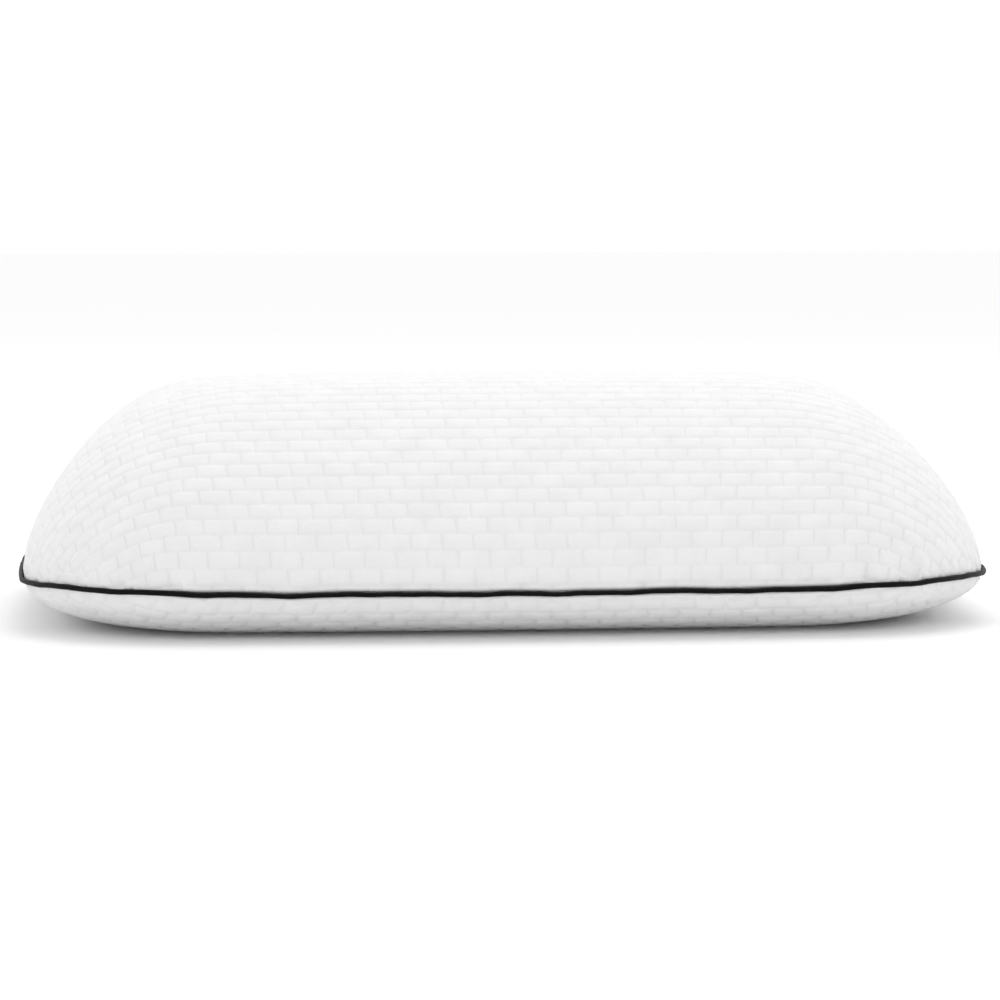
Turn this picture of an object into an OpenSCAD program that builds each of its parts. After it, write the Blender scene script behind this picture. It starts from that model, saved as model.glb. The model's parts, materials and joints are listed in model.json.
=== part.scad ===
// Bed pillow: a moulded foam core in a sewn liner, inside a zipped knitted cover with a piped seam.
// Origin: centre of the resting face. +X along the length, +Y towards the zipped side, +Z up.
// Skins are stacks of rings that all follow one plan outline, each ring a little inside the last.

/* [Pillow] */
// Overall length, measured over the piping
pillow_length = 606; // [560:1:660]
// Overall width, measured over the piping
pillow_width = 406; // [380:1:440]
// Height at the middle of the top
pillow_height = 147; // [125:1:160]
// Height of the piped seam above the resting face
seam_height = 30; // [28:0.5:34]
// How far the seam lifts at the four corners
corner_lift = 1; // [0:0.5:4]
// How far the front long side bows out at its middle
front_bow = 11; // [0:0.5:14]
// How far each short end bows out at its middle
end_bow = 12; // [0:0.5:14]
// Plan radius of the four corners at the seam
corner_radius = 92; // [75:1:95]

/* [Top and underside] */
// Distance over which the top falls away to the long sides
shoulder_side = 153; // [120:1:160]
// Distance over which the top falls away to the short ends
shoulder_end = 103; // [85:1:130]
// Fullness of the shoulders: 1 is a straight slope, 2 is an elliptical arc
shoulder_power = 1.58; // [1.4:0.01:2.2]
// Plan radius of the corners where the shoulders end
crown_radius = 50; // [30:1:52]
// Extra height of the gentle dome on the top
crown_rise = 8; // [0:0.5:12]
// Distance over which the underside curves in from the long sides
under_side = 62; // [50:1:80]
// Distance over which the underside curves in from the short ends
under_end = 76; // [60:1:95]
// Fullness of the underside's edge
under_power = 1.8; // [1.6:0.05:2]

/* [Layers] */
// Thickness of the cover's padded knit
cover_thickness = 1.6; // [1.2:0.1:1.8]
// Thickness of the liner's jersey
liner_thickness = 0.6; // [0.4:0.1:0.8]
// Room between cover and liner at the sides, where the seam allowances and the zip lie
side_room = 3.8; // [3.7:0.1:4.4]
// Gap between one layer and the next
layer_gap = 0.3; // [0.2:0.05:0.4]

/* [Piping] */
// Radius of the piping over its sleeve
piping_radius = 1.65; // [1.4:0.05:2]
// Wall of the piping's folded sleeve
sleeve_wall = 0.45; // [0.3:0.05:0.5]

/* [Zip] */
// Half of the zip's width that the cover leaves open
opening_half = 4.6; // [4.6:0.1:5]
// Thickness of the zip's tapes
tape_thickness = 0.5; // [0.4:0.05:0.6]
// Width of one row of coil
coil_width = 2.3; // [2:0.1:2.4]
// Height of the coil above the tape
coil_height = 1.9; // [1.6:0.1:2]
// Half of the gap between the two rows
chain_gap_half = 0.9; // [0.85:0.05:1]
// Length of the slider
slider_length = 12.5; // [11:0.5:14]
// Width of the slider
slider_width = 8.2; // [8.2:0.1:8.4]
// Length of the pull tab, from its pivot
tab_length = 21; // [18:0.5:23]

/* [Label] */
// Width of the blank care label
label_width = 30; // [20:1:40]
// Middle of the label, along the end seam
label_y = 58; // [40:1:80]

/* [Hidden] */

$fn = 48;
corner_steps = 8;
side_steps = 14;
end_steps = 6;

// The piping's middle stands just outside the cover's skin
sleeve_clear = 0.25;
piping_out = piping_radius + sleeve_clear;
half_length = pillow_length / 2 - piping_out - piping_radius;
half_width = pillow_width / 2 - piping_out - piping_radius;

// Small gaps: under what lies on the zip's tape, beside what is sewn into a seam, and round a stop
seat = 0.05;
sewn_gap = 0.1;
stop_gap = 0.1;
// How deep the seam allowances and the zip's tape lie behind the cover's lining
allowance_depth = 0.15;
tape_depth = 0.4;

// Insets from the cover's outer skin: [inwards, up or down]
cover_skin = [0, 0];
cover_lining = [cover_thickness, cover_thickness];
allowance_outer = cover_lining + [allowance_depth, allowance_depth];
allowance_thickness = 0.6;
allowance_inner = allowance_outer + [allowance_thickness, allowance_thickness];
tape_face = cover_lining + [tape_depth, tape_depth];
tape_back = tape_face + [tape_thickness, tape_thickness];
liner_skin = [cover_thickness + side_room, cover_thickness + layer_gap];
liner_lining = liner_skin + [liner_thickness, liner_thickness];
foam_skin = liner_lining + [layer_gap, layer_gap];

// Half of the gap that each panel leaves at its seam for what is sewn into it
seam_gap = allowance_thickness / 2 + sewn_gap;
liner_seam_gap = seat;

// ---- Plan outline ----------------------------------------------------------------------------

// Each outline point is [side along X, side along Y, angle within its corner], anticlockwise from +X
turn_up = [for (k = [0:corner_steps]) 90 * k / corner_steps];
turn_down = [for (k = [0:corner_steps]) 90 - 90 * k / corner_steps];
OUTLINE = concat(
    [for (a = turn_up) [1, 1, a]],
    [for (k = [1:side_steps - 1]) [1 - 2 * k / side_steps, 1, 90]],
    [for (a = turn_down) [-1, 1, a]],
    [for (k = [1:end_steps - 1]) [-1, 1 - 2 * k / end_steps, 0]],
    [for (a = turn_up) [-1, -1, a]],
    [for (k = [1:side_steps - 1]) [-1 + 2 * k / side_steps, -1, 90]],
    [for (a = turn_down) [1, -1, a]],
    [for (k = [1:end_steps - 1]) [1, -1 + 2 * k / end_steps, 0]]);

function on_zip(o) = o.y == 1 && o.z == 90 && abs(o.x) < 1;

// A plan point of a rounded rectangle, half sizes hx by hy and corner radius r
function rounded(o, hx, hy, r) =
    [o.x * (hx - r) + sign(o.x) * r * cos(o.z) * (o.z < 90 ? 1 : 0),
     o.y * (hy - r) + sign(o.y) * r * sin(o.z) * (o.z > 0 ? 1 : 0)];

// The front long side and both short ends bow out; the zip keeps the back straight
function bowed(p) =
    [p.x * (1 - end_bow / half_length * pow(p.y / half_width, 2)),
     p.y < 0 ? p.y * (1 - front_bow / half_width * pow(p.x / half_length, 2)) : p.y];

function smooth(t) = let (c = max(0, min(1, t))) c * c * (3 - 2 * c);
function near_corner(p) = smooth((abs(p.x) * abs(p.y) / (half_length * half_width) - 0.6) / 0.12);
function seam_z(p) = seam_height + corner_lift * near_corner(p);
function fall(run, half) = 1 - pow(abs(run) / half, 2.5);
function crown(p) = crown_rise * fall(p.x, half_length) * fall(p.y, half_width);

// ---- Edge curves: angle 0 at the seam, 90 where the curve has run out ---------------------------

function run_in(angle, power) = 1 - pow(cos(angle), 2 / power);
function run_up(angle, power) = pow(sin(angle), 2 / power);
function angle_at(part, power) = asin(pow(part, power / 2));

function top_point(o, inset, angle, gap) =
    let (g = run_in(angle, shoulder_power))
    let (hx = half_length - inset.x - (shoulder_end - inset.x) * g)
    let (hy = half_width - inset.x - (shoulder_side - inset.x) * g)
    let (r = corner_radius - inset.x + (crown_radius - corner_radius) * g)
    let (p = bowed(rounded(o, hx, hy, r)))
    let (low = seam_z(p) + gap)
    let (high = pillow_height - crown_rise - inset.y)
    [p.x, p.y, low + (high - low) * run_up(angle, shoulder_power) + crown(p)
        * run_up(angle, shoulder_power)];

function under_point(o, inset, angle, gap) =
    let (g = run_in(angle, under_power))
    let (hx = half_length - inset.x - (under_end - inset.x) * g)
    let (hy = half_width - inset.x - (under_side - inset.x) * g)
    let (r = corner_radius - inset.x - 0.3 * corner_radius * g)
    let (p = bowed(rounded(o, hx, hy, r)))
    let (high = seam_z(p) - gap)
    [p.x, p.y, inset.y + (high - inset.y) * (1 - run_up(angle, under_power))];

function top_ring(inset, angle, gap) = [for (o = OUTLINE) top_point(o, inset, angle, gap)];
function under_ring(inset, angle, gap) = [for (o = OUTLINE) under_point(o, inset, angle, gap)];

// The middle of the top: copies of its last ring, drawn in towards the centre
function crown_ring(inset, share) =
    [for (p = top_ring(inset, 90, 0))
        let (q = [p.x * share, p.y * share])
        [q.x, q.y, pillow_height - crown_rise - inset.y + crown(share < 0.2 ? [0, 0] : q)]];

// The underside starts lower along the zip, where the cover is left open
function zip_edge_angle(o) = on_zip(o) ? fold_angle : 0;
function bottom_panel_ring(inset, part) =
    [for (o = OUTLINE)
        let (first = zip_edge_angle(o))
        under_point(o, inset, first + (90 - first) * part, seam_gap)];

// Every layer has its rings at the same steps, so that their flats lie parallel
top_angles = [for (k = [0:11]) 90 * pow(k / 11, 1.2)];
crown_shares = [0.82, 0.6, 0.38, 0.16];
under_parts = [for (k = [0:8]) k / 8];

function dome(inset, gap) = concat(
    [for (a = top_angles) top_ring(inset, a, gap)],
    [for (s = crown_shares) crown_ring(inset, s)]);
function dish(inset, gap) = [for (part = under_parts) under_ring(inset, 90 * part, gap)];

function reversed(list) = [for (k = [len(list) - 1:-1:0]) list[k]];

// ---- Lofts -----------------------------------------------------------------------------------

// Two triangles between each pair of neighbouring points on rings a and b
function band(a, b, n) =
    [for (i = [0:n - 1]) let (j = (i + 1) % n)
        each [[a * n + i, b * n + i, b * n + j], [a * n + i, b * n + j, a * n + j]]];

// A closed body through a stack of rings; a flat fan round a middle point caps each end
module loft(rings) {
    n = len(rings[0]);
    last = len(rings) - 1;
    first_middle = (last + 1) * n;
    sides = [for (k = [0:last - 1]) each band(k, k + 1, n)];
    polyhedron(
        points = concat([for (r = rings) each r], [for (r = [rings[0], rings[last]]) [0, 0, r[0].z]]),
        faces = concat(
            [for (i = [0:n - 1]) [i, (i + 1) % n, first_middle]],
            sides,
            [for (i = [0:n - 1]) [last * n + (i + 1) % n, last * n + i, first_middle + 1]]));
}

// A closed hoop through rings that lead round a section and back to the first
module hoop(rings) {
    n = len(rings[0]);
    count = len(rings);
    polyhedron(
        points = [for (r = rings) each r],
        faces = [for (k = [0:count - 1]) each band(k, (k + 1) % count, n)]);
}

// The seam allowances turn up as far as the top panel's second ring
allowance_angle = top_angles[2];

// A ring that stands `out` from the cover's skin and `up` from the seam
function seam_ring(out, up) =
    [for (o = OUTLINE)
        let (p = bowed(rounded(o, half_length + out, half_width + out, corner_radius + out)))
        [p.x, p.y, seam_z(p) + up]];

// Rings round a circular section, from one angle to another, beside the seam
function round_rings(radius, from, to, steps, out, up) =
    [for (k = [0:steps - 1]) let (a = from + (to - from) * k / (steps - 1))
        seam_ring(out + radius * cos(a), up + radius * sin(a))];

// ---- Foam and liner --------------------------------------------------------------------------

module foam_core() {
    top = dome(foam_skin, 0);
    color([0.95, 0.93, 0.86])
    loft(concat(reversed(dish(foam_skin, 0)), [for (k = [1:len(top) - 1]) top[k]]));
}

module liner_top() {
    color([0.96, 0.96, 0.95])
    loft(concat(reversed(dome(liner_lining, liner_seam_gap)), dome(liner_skin, liner_seam_gap)));
}

module liner_bottom() {
    color([0.94, 0.94, 0.93])
    loft(concat(reversed(dish(liner_skin, liner_seam_gap)), dish(liner_lining, liner_seam_gap)));
}

// The overlocked seam that closes the liner round the foam
module liner_seam_thread() {
    radius = 0.55;
    middle = -(liner_skin.x - radius - sewn_gap);
    color([0.9, 0.9, 0.88])
    hoop(round_rings(radius, 0, 288, 5, middle, 0));
}

// ---- Cover -----------------------------------------------------------------------------------

module cover_top_panel() {
    color([0.97, 0.97, 0.97])
    loft(concat(reversed(dome(cover_lining, seam_gap)), dome(cover_skin, seam_gap)));
}

module cover_bottom_panel() {
    color([0.95, 0.95, 0.95])
    loft(concat(
        reversed([for (p = under_parts) bottom_panel_ring(cover_skin, p)]),
        [for (p = under_parts) bottom_panel_ring(cover_lining, p)]));
}

// The overlock that runs along the upper edges of the turned-up seam allowances
module cover_seam_thread() {
    radius = 0.6;
    middle = allowance_inner.x + radius;
    color([0.93, 0.93, 0.93])
    hoop([for (a = [0:72:288])
        let (depth = middle - radius * cos(a))
        [for (p = top_ring([depth, depth], allowance_angle, 0))
            [p.x, p.y, p.z + allowance_depth + radius * (1 + sin(a))]]]);
}

// ---- Piping ----------------------------------------------------------------------------------

// A black strip folded round the filler cord; both its edges turn up inside the cover
module piping_sleeve() {
    half = allowance_thickness / 2;
    root = asin(half / piping_radius);
    color([0.05, 0.05, 0.055])
    difference() {
        hoop(concat(
            round_rings(piping_radius, root - 180, 180 - root, 9, piping_out, 0),
            [seam_ring(-allowance_outer.x, half),
             top_ring(allowance_outer, allowance_angle, 0),
             top_ring(allowance_inner, allowance_angle, 0),
             seam_ring(-allowance_inner.x, -half)]));
        hoop(round_rings(piping_radius - sleeve_wall, 0, 308, 7, piping_out, 0));
    }
}

module piping_filler_cord() {
    color([0.9, 0.88, 0.82])
    hoop(round_rings(piping_radius - sleeve_wall - sewn_gap, 0, 308, 7, piping_out, 0));
}

// ---- Zip: sections lie in the Y-Z plane at the back's straight run -------------------------------

BACK = [0, 1, 90];
function back_under(inset, angle) = let (p = under_point(BACK, inset, angle, 0)) [p.y, p.z];
function panel_edge(angle) = let (p = under_point(BACK, cover_skin, angle, seam_gap)) [p.y, p.z];
function back_top(inset, angle) = let (p = top_point(BACK, inset, angle, 0)) [p.y, p.z];

// The chain runs along a flat chord of the tape, just below the piping
chord_high = back_under(tape_face, angle_at(0.06, under_power));
chord_low = back_under(tape_face, angle_at(0.31, under_power));
chain_middle = (chord_high + chord_low) / 2;
chord_half = norm(chord_high - chord_low) / 2;
across = (chord_low - chord_high) / (2 * chord_half);
outward = [-across.y, across.x];
chain_tilt = atan2(-across.x, -across.y);

// Where the lower panel's folded edge ends, and the first of its rings below that edge
fold_angle = angle_at(0.31 + (opening_half - chord_half) / seam_height, under_power);
first_step_angle = fold_angle + (90 - fold_angle) * under_parts[1];

// The opening ends one step short of the corners, measured at the fold, where the end's bow draws it in
opening_reach = (1 - 2 / side_steps) * (1 - end_bow / half_length) * (half_length - corner_radius
    - (under_end - 0.3 * corner_radius) * run_in(fold_angle, under_power));

function from_chain(side, lift) = chain_middle + across * side + outward * lift;

module along_zip(length) rotate([90, 0, 90]) linear_extrude(length, center = true) children();
module on_chain() translate([0, chain_middle.x, chain_middle.y]) rotate([-90 - chain_tilt, 0, 0]) children();

tape_end = 1.5;
tape_length = 2 * (opening_reach + tape_end);
coil_inset = 8;
coil_length = 2 * (opening_reach - coil_inset);
stop_length = 2.4;
tape_edge = chain_gap_half - seat;

// Inside the cover the upper tape passes under the seam allowance and turns up behind it
under_flange = seam_height - allowance_thickness / 2 - sewn_gap;
flange_face = allowance_inner + [sewn_gap, sewn_gap];
flange_back = flange_face + [tape_thickness, tape_thickness];
flange_low = [half_width - flange_back.x, under_flange - tape_thickness];
flange_high = back_top(flange_back, allowance_angle);

module zip_tape_upper() {
    near_seam = angle_at(0.03, under_power);
    color([0.95, 0.95, 0.95])
    along_zip(tape_length)
        polygon([
            from_chain(-tape_edge, 0),
            chord_high,
            back_under(tape_face, near_seam),
            [half_width - tape_face.x, under_flange],
            [half_width - flange_face.x, under_flange],
            back_top(flange_face, allowance_angle),
            flange_high,
            flange_low,
            [half_width - tape_back.x, under_flange - tape_thickness],
            from_chain(-chord_half, -tape_thickness),
            from_chain(-tape_edge, -tape_thickness)]);
}

// The lower tape lies against the lower panel's lining, and its edge is caught by the top stitch
module zip_tape_lower() {
    angles = [for (part = [under_parts[1], under_parts[2]]) fold_angle + (90 - fold_angle) * part];
    color([0.95, 0.95, 0.95])
    along_zip(tape_length)
        polygon(concat(
            [from_chain(tape_edge, -tape_thickness), from_chain(tape_edge, 0), chord_low],
            [back_under(tape_face, fold_angle)],
            [for (a = angles) back_under(tape_face, a)],
            [for (a = reversed(angles)) back_under(tape_back, a)],
            [from_chain(chord_half, -tape_thickness)]));
}

// One row of coil, a half-round rib on its tape; side is -1 for the upper row and 1 for the lower
module coil_row(side) {
    shoulder = 0.75;
    color([0.92, 0.92, 0.93])
    on_chain()
    translate([-coil_length / 2, side * (chain_gap_half + coil_width / 2), seat])
    rotate([90, 0, 90])
    linear_extrude(coil_length)
        union() {
            translate([-coil_width / 2, 0]) square([coil_width, coil_height - shoulder]);
            translate([-coil_width / 2 + shoulder, 0]) square([coil_width - 2 * shoulder, coil_height]);
            for (s = [-1, 1])
                translate([s * (coil_width / 2 - shoulder), coil_height - shoulder]) circle(r = shoulder);
        }
}

module zip_coil_upper() coil_row(-1);
module zip_coil_lower() coil_row(1);

// The web that joins a stop's two plates, measured out from the middle of the chain
clip_plate = 0.6;
web_outer = 0.75;
web_apart = 0.2;

// A clip pinched over a tape's inner edge: plates outside and inside, joined through the chain gap
module stop_clip(web_inner) {
    reach = chain_gap_half + coil_width;
    inside = -tape_thickness - seat - clip_plate;
    for (side = [-1, 1]) {
        low = min(side * web_outer, side * reach);
        translate([0, low, seat]) cube([stop_length, reach - web_outer, coil_height]);
        translate([0, low, inside]) cube([stop_length, reach - web_outer, clip_plate]);
        translate([0, min(side * web_inner, side * web_outer), inside])
            cube([stop_length, web_outer - web_inner, seat + coil_height - inside]);
    }
}

// At the closed end each tape has a stop of its own
module zip_top_stops() {
    color([0.85, 0.86, 0.88])
    on_chain() translate([coil_length / 2 + stop_gap, 0, 0]) stop_clip(web_apart);
}

// At the open end one stop holds both tapes together
module zip_bottom_stop() {
    color([0.85, 0.86, 0.88])
    on_chain() translate([-coil_length / 2 - stop_gap - stop_length, 0, 0]) stop_clip(0);
}

stitch_length = 2.8;
stitch_pitch = 3.8;
thread_width = 0.4;
thread_rise = 0.35;
thread_gap = 0.06;
stitch_count = floor((2 * opening_reach - 3) / stitch_pitch);

// A row of thread stitches along X, lying just clear of its cloth
module stitch_row() {
    for (k = [0:stitch_count - 1])
        translate([(k - (stitch_count - 1) / 2) * stitch_pitch, 0, thread_gap + thread_rise / 2])
            cube([stitch_length, thread_width, thread_rise], center = true);
}

// Inside: the stitches that hold the upper tape to the seam allowance
module zip_seam_stitch() {
    middle = (flange_low + flange_high) / 2;
    rise = flange_high - flange_low;
    lean = atan2(-rise.x, rise.y);
    color([0.97, 0.97, 0.97])
    translate([0, middle.x, middle.y]) rotate([90 + lean, 0, 0]) stitch_row();
}

// Outside: the stitches that hold the lower panel's folded edge to the lower tape
module zip_top_stitch() {
    upper = panel_edge(fold_angle);
    lower = panel_edge(first_step_angle);
    middle = (upper + lower) / 2;
    tilt = atan2(upper.x - lower.x, upper.y - lower.y);
    color([0.97, 0.97, 0.97])
    translate([0, middle.x, middle.y]) rotate([-90 - tilt, 0, 0]) stitch_row();
}

// Dense bars of thread across both ends of the opening
module zip_bartacks() {
    bar = 1.8;
    bar_height = 0.7;
    bar_inset = 3.2;
    bar_half = opening_half - 0.4;
    color([0.96, 0.96, 0.96])
    on_chain()
    for (s = [-1, 1])
        translate([s * (opening_reach - bar_inset) - bar / 2, -bar_half, seat])
            cube([bar, 2 * bar_half, bar_height]);
}

// ---- Slider and pull ---------------------------------------------------------------------------

slider_clear = 0.45;
plate = 1;
flange = 0.65;
slider_top = coil_height + seat + slider_clear + plate;
slider_end_gap = 0.4;
slider_rest = coil_length / 2 - slider_length / 2 - slider_end_gap;

// A flat plate with round corners, standing on z = 0
module rounded_plate(length, width, height, r) {
    linear_extrude(height)
        union() {
            square([length - 2 * r, width], center = true);
            square([length, width - 2 * r], center = true);
            for (sx = [-1, 1], sy = [-1, 1])
                translate([sx * (length / 2 - r), sy * (width / 2 - r)]) circle(r = r);
        }
}

// Two plates round the chain, joined by the divider that parts the coils at the nose
module zip_slider_body() {
    low = -tape_thickness - slider_clear - seat;
    wall_low = slider_clear;
    wall_inset = 2.2;
    wall_middle = (slider_width - flange) / 2 - seat;
    divider_inset = 3.4;
    divider_length = 2.4;
    divider_width = 1;
    corner = 2;
    color([0.93, 0.93, 0.93])
    on_chain() translate([slider_rest, 0, 0]) {
        translate([0, 0, slider_top - plate]) rounded_plate(slider_length, slider_width, plate, corner);
        translate([0, 0, low - plate]) rounded_plate(slider_length, slider_width, plate, corner);
        for (s = [-1, 1])
            translate([-slider_length / 2 + wall_inset, s * wall_middle - flange / 2, wall_low])
                cube([slider_length - 2 * wall_inset, flange, slider_top - wall_low - plate / 2]);
        translate([slider_length / 2 - divider_inset, -divider_width / 2, low - plate / 2])
            cube([divider_length, divider_width, slider_top - low]);
    }
}

bar_radius = 0.6;
bar_gap = 0.35;
bar_lift = slider_top + bar_gap + bar_radius;
bridge_half = 4.2;
bridge_width = 2.2;
bridge_wall = 0.9;
bridge_gap = 0.4;
bridge_rise = bar_lift + bar_radius + bridge_gap - slider_top;

// The arch on the slider that holds the pull tab
module zip_slider_bridge() {
    outer = bridge_rise + bridge_wall;
    color([0.93, 0.93, 0.93])
    on_chain() translate([slider_rest, 0, slider_top])
    rotate([90, 0, 0]) linear_extrude(bridge_width, center = true)
        difference() {
            arch(bridge_half, outer, 1.2);
            arch(bridge_half - bridge_wall, bridge_rise, 1);
        }
}

// A flat-footed arch standing on y = 0, with rounded shoulders
module arch(half, height, r) {
    union() {
        translate([-half, 0]) square([2 * half, height - r]);
        translate([-half + r, 0]) square([2 * (half - r), height]);
        for (s = [-1, 1]) translate([s * (half - r), height - r]) circle(r = r);
    }
}

// The tab hangs on its bar under the bridge, and lies back along the chain; its eye clears the bridge
module zip_pull_tab() {
    eye_half = bridge_width / 2 + 0.5;
    rail = 1.4;
    head = 2 * (eye_half + rail);
    eye_length = bridge_half + 0.7;
    tip_radius = 2.6;
    hole_radius = 1.1;
    color([0.93, 0.93, 0.93])
    on_chain() translate([slider_rest, 0, bar_lift]) {
        rotate([90, 0, 0]) cylinder(r = bar_radius, h = head, center = true);
        translate([0, 0, -bar_radius]) linear_extrude(2 * bar_radius)
            difference() {
                union() {
                    translate([-eye_length - rail, -head / 2]) square([eye_length + rail, head]);
                    translate([-tab_length + tip_radius, -tip_radius])
                        square([tab_length - tip_radius - eye_length, 2 * tip_radius]);
                    translate([-tab_length + tip_radius, 0]) circle(r = tip_radius);
                }
                translate([-eye_length, -eye_half]) square([eye_length, 2 * eye_half]);
                translate([-tab_length + tip_radius, 0]) circle(r = hole_radius);
            }
    }
}

// ---- Label -----------------------------------------------------------------------------------

// Where the label leaves the seam and where it ends, on the underside's edge curve
label_from = 14;
label_to = 57;
END = [1, 0, 0];
function end_under(inset, angle) = let (p = under_point(END, inset, angle, 0)) [p.x, p.z];

// A blank folded loop of satin, caught in the end seam and lying against the underside's curve
module care_label() {
    gap = 0.2;
    thickness = 0.5;
    // The end's bow at the label's edge nearest the middle, where the label touches
    bow = end_bow * pow((label_y - label_width / 2) / half_width, 2);
    inner = [bow - gap, -gap];
    outer = [bow - gap - thickness, -gap - thickness];
    angles = [for (k = [0:8]) label_from + (label_to - label_from) * k / 8];
    color([0.98, 0.98, 0.98])
    translate([0, label_y, 0])
    rotate([90, 0, 0]) linear_extrude(label_width, center = true)
        polygon(concat(
            [for (a = angles) end_under(inner, a)],
            [for (a = reversed(angles)) end_under(outer, a)]));
}

foam_core();
liner_top();
liner_bottom();
liner_seam_thread();
cover_top_panel();
cover_bottom_panel();
cover_seam_thread();
piping_sleeve();
piping_filler_cord();
zip_tape_upper();
zip_tape_lower();
zip_coil_upper();
zip_coil_lower();
zip_top_stops();
zip_bottom_stop();
zip_seam_stitch();
zip_top_stitch();
zip_bartacks();
zip_slider_body();
zip_slider_bridge();
zip_pull_tab();
care_label();
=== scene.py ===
"""Bed pillow: the sewn, knitted and turned pieces that show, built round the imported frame.

Lengths are metres, in the frame's own axes: +X along the pillow, +Y towards the zip, +Z up.
Each cover and liner panel is cut flat in cloth coordinates (u along X, v along Y), and then laid on
the pillow.
"""

import json
import math

import bpy
import numpy as np
from mathutils import Matrix, Vector


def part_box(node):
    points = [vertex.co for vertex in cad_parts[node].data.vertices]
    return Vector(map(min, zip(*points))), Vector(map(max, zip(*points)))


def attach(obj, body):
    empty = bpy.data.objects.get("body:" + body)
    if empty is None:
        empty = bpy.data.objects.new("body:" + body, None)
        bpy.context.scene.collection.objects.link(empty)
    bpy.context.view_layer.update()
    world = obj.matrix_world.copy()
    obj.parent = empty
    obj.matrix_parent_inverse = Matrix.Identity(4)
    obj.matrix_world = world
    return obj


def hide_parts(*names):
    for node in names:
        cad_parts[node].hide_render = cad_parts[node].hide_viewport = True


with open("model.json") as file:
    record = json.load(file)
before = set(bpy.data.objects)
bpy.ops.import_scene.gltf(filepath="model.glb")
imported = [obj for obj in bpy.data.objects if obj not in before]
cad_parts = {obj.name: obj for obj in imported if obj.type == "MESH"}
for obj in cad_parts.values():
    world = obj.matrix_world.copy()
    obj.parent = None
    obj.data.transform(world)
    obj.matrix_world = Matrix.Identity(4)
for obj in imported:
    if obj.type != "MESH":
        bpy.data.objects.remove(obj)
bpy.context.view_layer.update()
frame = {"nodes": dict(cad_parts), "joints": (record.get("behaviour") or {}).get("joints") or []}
SEED = 41
MM = 0.001


# ---- Driving dimensions ----

top_low, top_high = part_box("cover_top_panel")
_, sleeve_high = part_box("piping_sleeve")

HALF_LENGTH = top_high.x
HALF_WIDTH = top_high.y
HEIGHT = top_high.z
# Each cover panel's edge stops this far above or below the middle of the seam
SEAM_GAP = 0.4 * MM
SEAM_HEIGHT = top_low.z - SEAM_GAP
CORNER_LIFT = 1 * MM
FRONT_BOW = 11 * MM
END_BOW = 12 * MM
CORNER_RADIUS = 92 * MM
CROWN_RISE = 8 * MM
CROWN_POWER = 2.5

COVER_THICKNESS = 1.6 * MM
LINER_THICKNESS = 0.6 * MM
LINER_ROOM = 5.4 * MM
LAYER_GAP = 0.3 * MM
LINER_LIFT = COVER_THICKNESS + LAYER_GAP
FOAM_ROOM = LINER_ROOM + LINER_THICKNESS + LAYER_GAP
FOAM_LIFT = COVER_THICKNESS + LAYER_GAP + LINER_THICKNESS + LAYER_GAP

PIPING_RADIUS = 1.65 * MM
PIPING_OUT = sleeve_high.x - PIPING_RADIUS - HALF_LENGTH

# The raised bricks of the knit, and how far the first bed joint lies from the front seam
BRICK_LENGTH = 20 * MM
BRICK_HEIGHT = 10.6 * MM
FIRST_COURSE = 14.8 * MM


# ---- Form of the pillow ----

# Each shell curves from the seam (angle 0) to its flat (angle 90 degrees), as in the CAD model.
# side and end are how far in the curve reaches, and power is how full it is
TOP = {"side": 153 * MM, "end": 103 * MM, "power": 1.58, "flat_radius": 50 * MM, "easing": 0.05}
UNDER = {"side": 62 * MM, "end": 76 * MM, "power": 1.8, "flat_radius": 0.7 * CORNER_RADIUS, "easing": 0.03}
ARC_STEPS = 181
HALVINGS = 30
FLAT_FROM = math.pi / 2 - 1e-6


def smooth(t):
    t = np.clip(t, 0, 1)
    return t * t * (3 - 2 * t)


def run_in(angle, power):
    """How far in from the seam the curve is at this angle, from 0 to 1."""
    return 1 - np.cos(angle) ** (2 / power)


def run_up(angle, power):
    """How far the curve has climbed at this angle, from 0 to 1."""
    return np.sin(angle) ** (2 / power)


def bowed(x, y):
    """The front and both ends bow out at their middles; the zipped back stays straight."""
    bow_x = x * (1 - END_BOW / HALF_LENGTH * (y / HALF_WIDTH) ** 2)
    bow_y = np.where(y < 0, y * (1 - FRONT_BOW / HALF_WIDTH * (x / HALF_LENGTH) ** 2), y)
    return bow_x, bow_y


def near_corner(x, y, start, spread):
    """Grows from 0 to 1 towards the corners, where |x y| passes `start` of its most."""
    return smooth((np.abs(x * y) / (HALF_LENGTH * HALF_WIDTH) - start) / spread)


def seam_z(x, y):
    return SEAM_HEIGHT + CORNER_LIFT * near_corner(x, y, 0.6, 0.12)


def crown(x, y):
    """The extra rise of the top towards its middle."""
    along = 1 - np.abs(x / HALF_LENGTH) ** CROWN_POWER
    across = 1 - np.abs(y / HALF_WIDTH) ** CROWN_POWER
    return CROWN_RISE * along * across


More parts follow.
